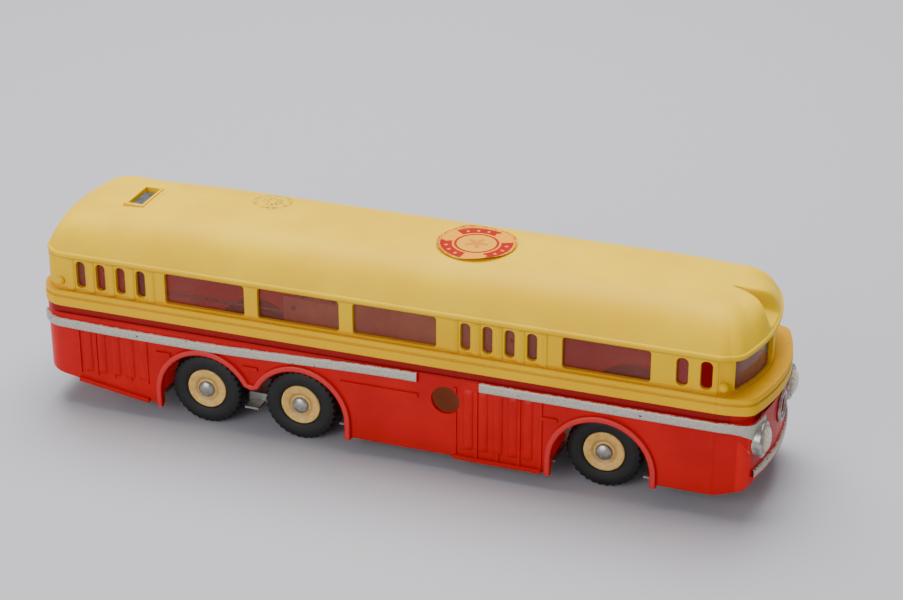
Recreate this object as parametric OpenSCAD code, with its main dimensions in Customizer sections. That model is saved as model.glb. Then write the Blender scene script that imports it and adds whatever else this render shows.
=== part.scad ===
// Wind-up three-axle toy bus. Millimetres, +X to the front, +Z up, floor at z = 0.
// The door side is -Y. The body is two plastic shells round a clockwork motor on a tinplate base.

/* [Body shells] */
// Length of the body, rear wall to nose
body_l = 268.8; // [260:0.1:280]
// Width over the flat sides
body_w = 60; // [57:0.1:64]
// Height of the roof's crown above the floor
roof_z = 73.9; // [71:0.1:77]
// Wall of both shells
wall = 1.5; // [1.2:0.1:1.8]
// Height of the joint between the two shells
joint_z = 39.9; // [39:0.1:41]
// Height of the belt below the windows
belt_h = 6.1; // [5.5:0.1:6.6]
// How far the belt stands out from the red sides
belt_proud = 0.5; // [0.3:0.05:0.8]
// How far the window band is set in
band_in = 0.9; // [0.6:0.05:1.2]
// Height of the gutter's underside
gutter_z = 59.4; // [58.9:0.1:60]
// Height of the gutter bead
gutter_h = 1.8; // [1.4:0.1:2.2]
// How far the windscreen is set back behind the nose
screen_back = 4; // [3.4:0.1:4.6]
// How far the visor is set back behind the nose
visor_back = 4.9; // [4.3:0.1:5.5]
// Fall of the front wall from the nose to its corners
nose_bow = 5.5; // [4:0.1:7]
// Radius of the rear corners
rear_r = 9; // [7.5:0.1:10.5]
// Depth of the tongue that centres the upper shell in the lower one
tongue_h = 3.4; // [2.5:0.1:4]

/* [Windows and doors] */
// Width of a passenger window
window_w = 30.7; // [29:0.1:32]
// Height of the windows
window_h = 11.6; // [10.8:0.1:12]
// Sill of the windows above the belt
sill_h = 0.9; // [0.6:0.1:1.2]
// Pillar between two windows
pillar_w = 5; // [4.4:0.1:5.6]
// Corner radius of the windows
window_r = 1.2; // [0.8:0.1:1.8]
// Width of a door slot
slot_w = 3.7; // [3.2:0.1:4.2]
// Pitch of the door slots
slot_pitch = 7.9; // [7.4:0.1:8.3]
// Thickness of the clear glazing
glazing_t = 0.5; // [0.3:0.05:0.8]

/* [Wheels and axles] */
// Radius of a tyre
tyre_r = 13.6; // [13:0.1:14.2]
// Width of a tyre
tyre_w = 8.6; // [7.5:0.1:9.4]
// Radius of a hub
hub_r = 7.4; // [6.8:0.1:8]
// Radius of a hub cap
cap_r = 3.1; // [2.6:0.1:3.6]
// Radius of the axles
axle_r = 1.25; // [1.1:0.05:1.5]
// Rear wall to the rear axle
rear_overhang = 64.6; // [62:0.1:67]
// Distance between the two rear axles
tandem_pitch = 36.5; // [35:0.1:38]
// Middle axle to the front axle
wheelbase = 110.9; // [107:0.1:114]
// Outer faces of the rear wheels, from the centre
rear_track_y = 27; // [26:0.1:28]
// Outer faces of the front wheels, from the centre
front_track_y = 23; // [22:0.1:25]
// Radius of the rear wheel arches
rear_arch_r = 17.3; // [16.6:0.1:17.7]
// Radius of the front wheel arches
front_arch_r = 17.6; // [16.6:0.1:18]
// Width of the raised lip round an arch
arch_lip = 2; // [1.6:0.1:2.4]

/* [Clockwork] */
// Driven axle to the winding arbor, along the bus
key_dx = 56; // [55.4:0.1:57]
// Height of the winding arbor
key_z = 27.5; // [26.8:0.1:28.4]
// Radius of the key hole
key_hole_r = 5.2; // [4.6:0.1:5.8]
// Side of the arbor's square end
key_square = 3; // [2.6:0.1:3.1]
// Tooth size (module) of the gears
gear_m = 0.8; // [0.79:0.005:0.82]
// Width inside the motor's side plates
motor_w = 18; // [17.6:0.1:19]
// Thickness of the motor's side plates
motor_plate_t = 1; // [0.8:0.1:1.3]
// Radius of the wheel arbors
arbor_r = 1; // [0.8:0.05:1.2]
// Thickness of the mainspring's strip
spring_t = 0.5; // [0.4:0.05:0.7]
// Turns of the mainspring
spring_turns = 5; // [4:1:6]

/* [Base plate and lever] */
// Thickness of the tinplate
tin_t = 0.8; // [0.6:0.05:1]
// Height of the base plate's underside
base_z = 9.6; // [9.2:0.1:10]
// Rear wall to the stop lever
lever_back = 28.4; // [26:0.1:31]
// Width of the lever's tab
lever_w = 11; // [10:0.1:12]
// Length of the lever's bent tab
tab_l = 4.8; // [4.2:0.1:5.4]
// Swing of the lever's tab to each side
lever_travel = 1.5; // [1.2:0.1:1.8]

/* [Hidden] */
$fn = 48;

// Clearances
seat_gap = 0.02;
run_gap = 0.05;
loose_gap = 0.15;
cut = 1;
far = 400;

// Colours
yellow = [0.96, 0.83, 0.42];
red = [0.80, 0.16, 0.14];
cream = [0.80, 0.67, 0.42];
rubber = [0.09, 0.09, 0.10];
tin = [0.66, 0.67, 0.68];
steel = [0.55, 0.56, 0.58];
brass = [0.72, 0.58, 0.28];
clear = [0.85, 0.90, 0.92, 0.35];

// Body
half_w = body_w / 2;
front_x = body_l / 2;
rear_x = -front_x;
corner_in = 2.2;
corner_r = 3;
corner_ease = 0.35;
taper_l = 17;
rear_bow = 0.8;
belt_top = joint_z + belt_h;
belt_groove_in = 0.55;
belt_groove_z = joint_z + belt_h * 0.55;
belt_groove_h = 0.7;
upper_rib_in = 0.2;
gutter_proud = 0.5;
gutter_top = gutter_z + gutter_h;
roof_out = 0.3;
roof_tail = 0.1;
roof_bow = 2.9;
roof_rear_r = rear_r + 1;
band_tail = 0.7;
chin_back = 1.2;

// Plan lines of the body's levels: set-back and bow of the nose, set-in, bow and corner of the rear
belt_line = [0, nose_bow, 0, rear_bow, rear_r];
red_line = [chin_back, nose_bow - chin_back, 0, rear_bow, rear_r];
screen_bow = nose_bow + 2.5;
band_line = [screen_back, screen_bow, band_tail, rear_bow, rear_r];
roof_line = [visor_back, nose_bow, roof_tail, roof_bow, roof_rear_r];

// Roof: the dome falls as a power of the distance from the spine to the outline
roof_power = 4.5;
visor_power = 5.4;
visor_blend = 15.7;
brow_power = 4.5;
brow_half_w = 8;
brow_blend = 12;
tail_power = 6.7;
tail_blend = 13.7;
spine_rear = rear_x + 22.9;
spine_front = front_x - visor_back - 20.7;
nose_fall = 4.4;
nose_fall_l = 48;
rear_fall = 3.5;
rear_fall_l = 70;
side_steps = 4;
dome_steps = [1, 0.985, 0.96, 0.92, 0.86, 0.78, 0.66, 0.48, 0.24];
notch_l = 16;
notch_half_w = 11;
notch_waist = 1.5;
notch_bend = 0.4;
notch_steps = 6;
notch_top = roof_z - 2.4;
notch_fall = 10.2;
pad_l = 8;
pad_w = 17;
pad_proud = 0.9;

// Windows and doors
window_z = belt_top + sill_h;
window_pitch = window_w + pillar_w;
rear_windows_back = 51.4;
rear_windows_x = rear_x + rear_windows_back;
rear_windows = 3;
front_window_back = 70.6;
front_window_x = front_x - front_window_back;
slot_h = 10.4;
slot_round = 0.45;
slot_z = window_z + (window_h - slot_h) / 2;
rear_door_x = rear_x + 16.4;
mid_door_x = front_window_x - 36.1;
front_door_x = front_x - 31.4;
front_slot_w = 4.2;
front_slot_pitch = 8.2;
left_windows_x = rear_windows_x - window_pitch;
left_windows = 6;
driver_window_w = 17;
screen_w = 23.6;
screen_post = 2;
rear_pane_w = 16;
rear_post = 2.5;
screen_depth = 6;
pane_edge = 1;
glazing_in = [12, 24];
indicator_r = 1.6;
indicator_places = [rear_x + 10, front_x - 15];
indicator_z = joint_z + 9.5;

// Axles
axle_z = tyre_r;
rear_axle_x = rear_x + rear_overhang;
mid_axle_x = rear_axle_x + tandem_pitch;
front_axle_x = mid_axle_x + wheelbase;
face_in = 0.8;
axle_end_in = 0.4;
hub_w = tyre_w - 2 * face_in;
hub_boss = 1;
hub_rim = 1.4;
hub_hollow = hub_w * 0.45;
tyre_shoulder = 1.6;
tread_edge = [2, 0.2];
tread_bend = 0.3;
bead = [0.6, 1.6, 2.8];
cap_h = 1.7;
cap_rim = 0.3;
cap_steps = 8;

// Lower shell
arch_z = axle_z - 1.7;
arch_tip_z = axle_z + 5.2;
front_arch_x = front_axle_x + 0.9;
tandem_arch_ahead = 1.3;
rear_arch_x = rear_axle_x + tandem_arch_ahead;
mid_arch_x = mid_axle_x + tandem_arch_ahead;
arch_end_angle = 27;
lip_proud = 1.1;
lip_drop = 0.6;
skirt_z = 6.2;
skirt_rear_z = 13.6;
skirt_front_z = 8.7;
chin_z = 18.2;
chin_edge = [[front_x - 7, skirt_front_z + 2.6], [front_x - 2, chin_z - 3.5], [front_x + cut, chin_z - 1]];
cove_h = 3;
cove_in = 0.6;
strip_w = 3.2;
strip_proud = 0.9;
strip_low = joint_z - 5.7;
strip_rise = 2.2;
strip_rise_x = rear_axle_x - 5.2;
strip_rise_l = 85;
strip_lift = 0.8;
strip_lift_x = strip_rise_x - 14;
strip_lift_l = 45;
strip_steps = 16;
front_strip_top = joint_z - 3.4;
strip_end_gap = [10, 12];
flare_x = front_x - 16;
flare_end_x = front_x - nose_bow + 2;
flare_bend = 4;
flare_up = 2.5;
flare_steps = 5;
step_h = 1.6;
step_drop = 0.6;
step_proud = lip_proud;
rear_panel = [rear_door_x - 1, 28];
mid_panel = [mid_door_x - 2, 32];
panel_ribs = 5;
rib_w = 1.1;
rib_proud = 0.45;
dash_z = axle_z + 12.8;
dash_places = [rear_axle_x - 17.5, rear_axle_x + 16.5, front_arch_x - 21];
ridge_x = mid_axle_x + 17;
ridge_l = 29;
ridge_z = axle_z + 13.6;
dash_l = 5.5;
dash_h = 1.3;
dash_proud = 0.7;
bumper_h = 3.2;
bumper_back = 4;
badge_r = 5.5;
badge_wall = 1.4;
badge_z = joint_z - 9.5;
lamp_y = half_w - 8.5;
lamp_z = joint_z - 11.3;
lamp_r = 4.5;
bezel_r = 6.3;
bezel_h = 4;
bezel_out = 1.4;
lamp_rim = 0.8;
lamp_steps = 8;
lamp_proud = 2.6;
lamp_pin_r = 1.5;
lamp_pin_l = 4;

// Clockwork
key_x = mid_axle_x + key_dx;
arbor_xz = [key_x, key_z];
axle_xz = [mid_axle_x, axle_z];
pinion_n = 12;
great_n = 44;
wheel_n = 40;
mesh_gap = 0.1;
great_mesh = gear_m * (great_n + pinion_n) / 2 + mesh_gap;
wheel_mesh = gear_m * (wheel_n + pinion_n) / 2 + mesh_gap;
second_angle = 172;
second_xz = arbor_xz + great_mesh * [cos(second_angle), sin(second_angle)];
third_xz = apex(second_xz, axle_xz, wheel_mesh);
gear_t = 1.5;
pinion_t = 2.7;
great_y = -1.5;
second_y = 2;
third_y = 5;
plate_y = motor_w / 2;
winding_r = 2.2;
arbor_out = 8;
ratchet_n = 10;
ratchet_r = 4.4;
ratchet_tooth = 1;
ratchet_lean = 0.06;
ratchet_t = 1.5;
ratchet_y = great_y + gear_t + seat_gap;
click_t = 1.2;
click_r = 1.6;
click_pivot = 3.2;
click_arm = [[0, 4], [0.4, 2], [3.6, -0.6], [4.4, 0.2], [3.4, 2.4]];
spring_r = 15;
spring_in_r = winding_r + 0.7;
spring_w = 6;
spring_y = -plate_y + 0.5;
spring_steps = 36;
spring_tail = 0.98;
post_r = 1.5;
post_places = [arbor_xz + [17.5, -13.5], arbor_xz + [17.5, 16.5],
  third_xz + [-21.5, 13], third_xz + [8.5, 21.5]];
post_end_r = post_r * 0.6;
pin_out = 0.6;
plate_edge = 4;
plate_step_h = 9;
plate_step_x = third_xz[0] - 4;
plate_rear = min([for (p = post_places) p[0]]) - plate_edge;
plate_front = max([for (p = post_places) p[0]]) + plate_edge;
plate_top = max([for (p = post_places) p[1]]) + plate_edge;
foot_w = 4;
foot_in = 6;
foot_out = 1.2;

// Base plate
base_top = base_z + tin_t;
base_gap = 0.3;
base_half_w = half_w - wall - base_gap;
base_front_end = 14;
base_rear_end = 22;
base_corner = 7;
wheel_room = 2;
ear_l = 10;
ear_up = 4;
rear_ear_y = rear_track_y - tyre_w - 4.5;
front_ear_y = front_track_y - tyre_w - 4;
gear_slots = [[key_x, 8, great_y, gear_t], [mid_axle_x, 6.5, pinion_y(third_y), pinion_t]];
flange_h = 3.4;
flange_l = 7;
flange_y = rear_track_y - 5;
screw_r = 1.1;
screw_head_r = 2.3;
screw_head_h = 1.3;
screw_l = 9;
screw_slot = 0.6;
boss_r = 3.4;
boss_h = 14;
screw_y = half_w - wall - 2.8;
rear_screw_back = 36;
mid_screw_ahead = 42;
front_screw_back = 24;
screw_places = [rear_x + rear_screw_back, mid_axle_x + mid_screw_ahead, front_x - front_screw_back];

// Stop lever
lever_x = rear_x + lever_back;
lever_t = tin_t;
pivot_r = 1;
pivot_z = base_top + 4.4;
lever_foot = 2.6;
lever_ear_up = 3;
lever_pin_out = 0.6;
lever_head_r = pivot_r * 1.7;
lever_head_h = 0.9;
tab_sink = 0.4;
tab_z = roof_top(lever_x) - tab_sink;
slot_room = 0.5;
wire_r = 0.6;
wire_z = key_z + 6;
wire_gap = 0.8;
wire_y = third_y - wire_gap - wire_r;
wire_end = third_xz[0] - 12;

// Third corner of an isosceles triangle with legs r on the base a-b, on the upper side
function apex(a, b, r) =
  let (d = (b - a) / 2, h = sqrt(r * r - d * d), u = d / norm(d)) (a + b) / 2 + h * [u[1], -u[0]];
function direction(a, b) = atan2(b[1] - a[1], b[0] - a[0]);
function clamp(v, low, high) = min(max(v, low), high);
function smooth(t) = let (k = clamp(t, 0, 1)) k * k * (3 - 2 * k);
function curve(a, b, c, n) =
  [for (i = [0:n]) let (t = i / n) (1 - t) ^ 2 * a + 2 * t * (1 - t) * b + t ^ 2 * c];
function arc(c, r, from, to, n) =
  [for (i = [0:n]) let (a = from + (to - from) * i / n) c + r * [cos(a), sin(a)]];

// Plan outline of the body on one of its lines, set in by s all round; steps adds points along the sides
function bow_x(y, s, line) = front_x - line[0] - s - line[1] * (y / (half_w - corner_in)) ^ 2;
function half_plan(s, line, steps) =
  let (
    bow_y = half_w - corner_in - corner_r - s,
    corner = [front_x - line[0] - s - line[1], half_w - corner_in - s],
    side = corner + [-corner_r, corner_in * corner_ease],
    taper = [min(front_x - taper_l, side[0] - corner_r), half_w - s],
    r = line[4],
    rear_c = [rear_x + line[2] + line[3] + r, half_w - r])
  concat(
    [for (i = [0:5]) let (y = bow_y * i / 5) [bow_x(y, s, line), y]],
    [for (p = curve([bow_x(bow_y, s, line), bow_y], corner, side, 5)) if (p[1] > bow_y) p],
    [for (p = curve(side, [(side[0] + taper[0]) / 2, half_w - s], taper, 3)) if (p[0] < side[0]) p],
    [for (i = [1:1:steps - 1]) [taper[0] - nose_fall_l * i / steps, half_w - s]],
    [for (i = [steps - 1:-1:1]) [rear_c[0] + rear_fall_l * i / steps, half_w - s]],
    arc(rear_c, r - s, 90, 180, 6),
    [for (i = [2:-1:0]) let (y = (half_w - r) * i / 3) [rear_x + line[2] + s + line[3] * (i / 3) ^ 2, y]]);
function plan(s, line, steps = 0) =
  let (h = half_plan(s, line, steps)) concat(h, [for (i = [len(h) - 2:-1:1]) [h[i][0], -h[i][1]]]);

module slab(s, line, low, high) {
  translate([0, 0, low]) linear_extrude(high - low) polygon(plan(s, line));
}
// The same line with its rear moved in by d
function rear_in(line, d) = [line[0], line[1], line[2] + d, line[3], line[4]];
// Draws a side-view shape, given in x and z, from y = a to y = b
module along_y(a, b) {
  translate([0, b, 0]) rotate([90, 0, 0]) linear_extrude(b - a) children();
}
// Draws a front-view shape, given in y and z, from x = a to x = b
module along_x(a, b) {
  translate([a, 0, 0]) rotate([90, 0, 90]) linear_extrude(b - a) children();
}
module rounded_square(w, h, r) {
  translate([r, 0]) square([w - 2 * r, h]);
  translate([0, r]) square([w, h - 2 * r]);
  for (x = [r, w - r], y = [r, h - r]) translate([x, y]) circle(r);
}
module pin(r, a, b) {
  translate([0, b, 0]) rotate([90, 0, 0]) cylinder(r = r, h = b - a);
}
module at(xz) {
  translate([xz[0], 0, xz[1]]) children();
}

// Dome of the roof over the outline, set in by s
function roof_top(x) = roof_z
  - nose_fall * clamp((x - front_x + visor_back + nose_fall_l) / nose_fall_l, 0, 1) ^ 3
  - rear_fall * clamp((rear_x + rear_fall_l - x) / rear_fall_l, 0, 1) ^ 2;
function dome_power(p) = roof_power + (tail_power - roof_power) * smooth((spine_rear - p[0]) / tail_blend)
  + (visor_power - roof_power + brow_power * (1 - smooth((abs(p[1]) - brow_half_w) / brow_blend)))
  * smooth((p[0] - spine_front) / visor_blend);
function dome_point(p, k, s) =
  let (spine = [clamp(p[0], spine_rear, spine_front), 0], q = spine + k * (p - spine))
  [q[0], q[1], gutter_top + (roof_top(q[0]) - s - gutter_top) * (1 - k ^ dome_power(p))];
module dome(s) {
  outline = plan(s - roof_out, roof_line, side_steps);
  n = len(outline);
  m = len(dome_steps);
  points = [for (k = dome_steps, p = outline) dome_point(p, k, s)];
  sides = [for (j = [0:m - 2], i = [0:n - 1], t = [0, 1])
    let (a = j * n + i, b = j * n + (i + 1) % n) t == 0 ? [a, a + n, b] : [b, a + n, b + n]];
  first = (m - 1) * n;
  cap_near = [for (i = [1:n / 2 - 1]) [first + i, first + n - i, first + i + 1]];
  cap_far = [for (i = [0:n / 2 - 2]) [first + i + 1, first + (n - i) % n, first + n - i - 1]];
  polyhedron(points, concat(sides, cap_near, cap_far, [[for (i = [0:n - 1]) i]]));
}
// V notch between the two lobes of the visor, grown by g
module notch(g) {
  x1 = front_x - visor_back + cut;
  x0 = x1 - notch_l - cut;
  bend = [x1 - notch_l * notch_bend, notch_waist + g];
  edge = curve([x1, notch_half_w + g], bend, [x0 - g, 0], notch_steps);
  intersection() {
    translate([0, 0, gutter_top]) linear_extrude(far)
      polygon(concat(edge, [for (i = [notch_steps - 1:-1:0]) [edge[i][0], -edge[i][1]]]));
    along_y(-half_w, half_w)
      polygon([[x0 - 2 * g, notch_top - g], [x1, notch_top - notch_fall - g], [x1, far], [x0 - 2 * g, far]]);
  }
}

// Window and door openings of the two sides
module right_openings() {
  for (i = [0:rear_windows - 1])
    translate([rear_windows_x + i * window_pitch, window_z]) rounded_square(window_w, window_h, window_r);
  translate([front_window_x, window_z]) rounded_square(window_w, window_h, window_r);
  for (x = [rear_door_x, mid_door_x], i = [0:3])
    translate([x + i * slot_pitch, slot_z]) rounded_square(slot_w, slot_h, slot_w * slot_round);
  for (i = [0:1])
    translate([front_door_x + i * front_slot_pitch, slot_z])
      rounded_square(front_slot_w, slot_h, front_slot_w * slot_round);
}
module left_openings() {
  for (i = [0:left_windows - 1])
    translate([left_windows_x + i * window_pitch, window_z]) rounded_square(window_w, window_h, window_r);
  translate([left_windows_x + left_windows * window_pitch, window_z])
    rounded_square(driver_window_w, window_h, window_r);
}
module upper_body() {
  color(yellow) difference() {
    union() {
      slab(-belt_proud, belt_line, joint_z, belt_groove_z);
      slab(belt_groove_in - belt_proud, belt_line, joint_z, belt_top);
      slab(upper_rib_in - belt_proud, belt_line, belt_groove_z + belt_groove_h, belt_top);
      slab(band_in, band_line, belt_top - cut, gutter_z + cut);
      slab(-gutter_proud, roof_line, gutter_z, gutter_top);
      difference() {
        dome(0);
        notch(0);
      }
      translate([lever_x - pad_l / 2 + tab_l / 2 - lever_t, -pad_w / 2, gutter_top])
        cube([pad_l, pad_w, roof_top(lever_x) + pad_proud - gutter_top]);
      slab(wall + loose_gap, red_line, joint_z - tongue_h, joint_z + cut);
      for (side = [-1, 1], x = indicator_places)
        translate([x, side * (half_w - band_in), indicator_z]) sphere(indicator_r);
    }
    slab(2 * wall + loose_gap, red_line, joint_z - tongue_h - cut, belt_top - wall);
    slab(band_in + wall, band_line, joint_z, gutter_top + seat_gap);
    difference() {
      dome(wall);
      notch(wall);
    }
    along_y(-far, 0) right_openings();
    along_y(0, far) left_openings();
    along_x(front_x - screen_back - screen_bow - screen_depth, far)
      for (side = [0, 1]) mirror([side, 0])
        translate([screen_post, window_z]) rounded_square(screen_w, window_h, window_r);
    along_x(-far, rear_x + screen_depth)
      for (side = [0, 1]) mirror([side, 0])
        translate([rear_post, window_z]) rounded_square(rear_pane_w, window_h, window_r);
    lever_slot();
  }
}
// Slot in the roof for the lever's tab, as wide as its swing
module lever_slot() {
  translate([lever_x - lever_t / 2 - slot_room, -lever_w / 2 - lever_travel - slot_room, gutter_top])
    cube([tab_l + 2 * slot_room, lever_w + 2 * (lever_travel + slot_room), far]);
}

// Side view of a wheel arch: a half round on straight legs
module arch(x, r) {
  translate([x, arch_z]) circle(r);
  translate([x - r, -cut]) square([2 * r, arch_z + cut]);
}
// All arches of a side, grown by g; the tandem pair meets in a V between the wheels
module arches(g) {
  arch(front_arch_x, front_arch_r + g);
  for (x = [rear_arch_x, mid_arch_x]) arch(x, rear_arch_r + g);
  reach = (rear_arch_r + g) * cos(arch_end_angle);
  end_z = arch_z + (rear_arch_r + g) * sin(arch_end_angle);
  polygon([[rear_arch_x, -cut], [rear_arch_x, arch_z], [rear_arch_x + reach, end_z],
    [rear_arch_x + tandem_pitch / 2, arch_tip_z + g], [mid_arch_x - reach, end_z],
    [mid_arch_x, arch_z], [mid_arch_x, -cut]]);
}
// Side view of the lower shell, with the skirt's lower edge and the tucked-in chin
module skirt_profile() {
  polygon([[rear_x - cut, skirt_rear_z], [rear_arch_x - rear_arch_r - arch_lip, skirt_z],
    [front_arch_x - front_arch_r, skirt_z], [front_arch_x + front_arch_r, skirt_front_z],
    [front_x - taper_l, skirt_front_z], chin_edge[0], chin_edge[1], chin_edge[2],
    [front_x + cut, joint_z], [rear_x - cut, joint_z]]);
}
function strip_top(x) = strip_low + strip_rise * smooth((x - strip_rise_x) / strip_rise_l)
  + strip_lift * (max(0, strip_lift_x - x) / strip_lift_l) ^ 2;
// Side view of the bright strips, with the flare that ends at the headlamp
module strips() {
  x0 = rear_x - 2 * cut;
  x1 = key_x - strip_end_gap[0];
  x2 = key_x + strip_end_gap[1];
  x3 = flare_end_x;
  upper = front_strip_top;
  lower = upper - strip_w;
  line = [for (i = [0:strip_steps]) let (x = x0 + (x1 - x0) * i / strip_steps) [x, strip_top(x)]];
  polygon(concat(line, [for (i = [strip_steps:-1:0]) line[i] - [0, strip_w]]));
  polygon(concat([[x2, upper]],
    curve([flare_x, upper], [x3 - flare_bend, upper], [x3, lamp_z + bezel_r + flare_up], flare_steps),
    curve([x3, lamp_z - bezel_r], [x3 - flare_bend, lower], [flare_x, lower], flare_steps), [[x2, lower]]));
}
module relief(proud) {
  difference() {
    slab(-proud, rear_in(red_line, proud), 0, joint_z);
    slab(wall / 2, red_line, -cut, joint_z + cut);
  }
}
// Raised lines and ribs of one side, drawn at y = 0 outwards
module side_relief() {
  along_y(0, lip_proud + wall / 2) intersection() {
    difference() {
      arches(arch_lip);
      arches(0);
    }
    translate([0, -lip_drop]) skirt_profile();
  }
  for (x = dash_places) translate([x, 0, dash_z]) cube([dash_l, wall / 2 + dash_proud, dash_h]);
  translate([ridge_x, 0, ridge_z]) cube([ridge_l, wall / 2 + dash_proud, dash_h]);
}
// Upright ribs of a door; the panel is given as its start and length
module door_panel(panel, low, high) {
  for (i = [0:panel_ribs - 1])
    translate([panel[0] + i * (panel[1] - rib_w) / (panel_ribs - 1), 0, low])
      cube([rib_w, wall / 2 + rib_proud, high - low]);
}
module step(panel) {
  cube([panel[1], wall / 2 + step_proud, step_h]);
}
module lower_body() {
  color(red) difference() {
    union() {
      difference() {
        intersection() {
          slab(0, red_line, 0, joint_z);
          along_y(-far, far) skirt_profile();
        }
        difference() {
          slab(-cut, red_line, joint_z - cove_h, joint_z + cut);
          slab(cove_in, rear_in(red_line, -cove_in - 2 * cut), joint_z - cove_h - cut, joint_z + 2 * cut);
        }
        slab(wall, red_line, -cut, joint_z + cut);
      }
      intersection() {
        relief(strip_proud);
        difference() {
          along_y(-far, far) strips();
          translate([flare_x, -lamp_y + bezel_r, 0]) cube([far, 2 * (lamp_y - bezel_r), far]);
        }
      }
      intersection() {
        relief(strip_proud);
        translate([front_x - bumper_back, -far, chin_z - bumper_h]) cube([far, 2 * far, bumper_h]);
      }
      translate([front_x - chin_back, 0, badge_z]) along_x(-wall, strip_proud) difference() {
        circle(badge_r);
        circle(badge_r - badge_wall);
      }
      for (side = [-1, 1]) {
        translate([lamp_seat_x() - bezel_h, side * lamp_y, lamp_z]) rotate([0, 90, 0])
          cylinder(r = bezel_r, h = bezel_h);
        for (x = screw_places)
          translate([x, side * screw_y, base_top]) cylinder(r = boss_r, h = boss_h);
      }
      for (side = [0, 1]) mirror([0, side, 0]) translate([0, half_w - wall / 2, 0]) side_relief();
      mirror([0, 1, 0]) translate([0, half_w - wall / 2, 0]) {
        door_panel(rear_panel, skirt_rear_z, strip_low - strip_w);
        door_panel(mid_panel, skirt_z + step_drop, front_strip_top - strip_w);
        translate([mid_panel[0], 0, skirt_z - step_drop]) step(mid_panel);
        translate([rear_panel[0], 0, rear_skirt_z(rear_panel[0]) - step_drop])
          rotate([0, rear_skirt_angle, 0]) step(rear_panel);
      }
    }
    along_y(-far, far) arches(0);
    at(arbor_xz) pin(key_hole_r, -far, -half_w + 4);
    for (side = [-1, 1]) {
      translate([lamp_seat_x() - lamp_pin_l - cut, side * lamp_y, lamp_z]) rotate([0, 90, 0])
        cylinder(r = lamp_pin_r + seat_gap, h = lamp_pin_l + 2 * cut);
      for (x = screw_places)
        translate([x, side * screw_y, base_top - cut])
          cylinder(r = screw_r + seat_gap, h = screw_l + 2 * cut);
    }
  }
}
rear_skirt_angle = atan2(skirt_rear_z - skirt_z, rear_arch_x - rear_arch_r - arch_lip - rear_x + cut);
function rear_skirt_z(x) = skirt_rear_z - (x - rear_x + cut) * tan(rear_skirt_angle);
function lamp_seat_x() = bow_x(lamp_y, 0, red_line) + bezel_out;

// Clear sheets behind the window openings
module side_glazing(side) {
  y = half_w - band_in - wall;
  color(clear) mirror([0, side < 0 ? 1 : 0, 0])
    translate([rear_x + glazing_in[0], y - glazing_t, belt_top - wall])
      cube([body_l - glazing_in[0] - glazing_in[1], glazing_t, gutter_z - belt_top + wall]);
}
module glazing_right() {
  side_glazing(-1);
}
module glazing_left() {
  side_glazing(1);
}
// Bent end sheet, between the plan's two set-in lines, from x = a to x = b
module end_glazing(a, b, half) {
  s = band_in + wall;
  color(clear) intersection() {
    difference() {
      slab(s, band_line, belt_top - wall, gutter_z);
      slab(s + glazing_t, band_line, 0, far);
    }
    translate([a, -half, 0]) cube([b - a, 2 * half, far]);
  }
}
module windscreen() {
  end_glazing(front_x - screen_back - screen_bow - screen_depth, far, screen_w + screen_post + pane_edge);
}
module rear_window() {
  end_glazing(-far, rear_x + screen_depth, rear_pane_w + rear_post + pane_edge);
}

// Domed lens with a pin that presses into the bezel
module headlamp(side) {
  translate([lamp_seat_x(), side * lamp_y, lamp_z]) rotate([0, 90, 0]) {
    rotate_extrude() polygon(concat([[0, 0], [lamp_r, 0]],
      [for (i = [0:lamp_steps]) let (a = i * 90 / lamp_steps)
        [lamp_r * cos(a), lamp_rim + (lamp_proud - lamp_rim) * sin(a)]]));
    translate([0, 0, -lamp_pin_l]) cylinder(r = lamp_pin_r, h = lamp_pin_l);
  }
}
module headlamp_right() {
  color(cream) headlamp(-1);
}
module headlamp_left() {
  color(cream) headlamp(1);
}

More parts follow.
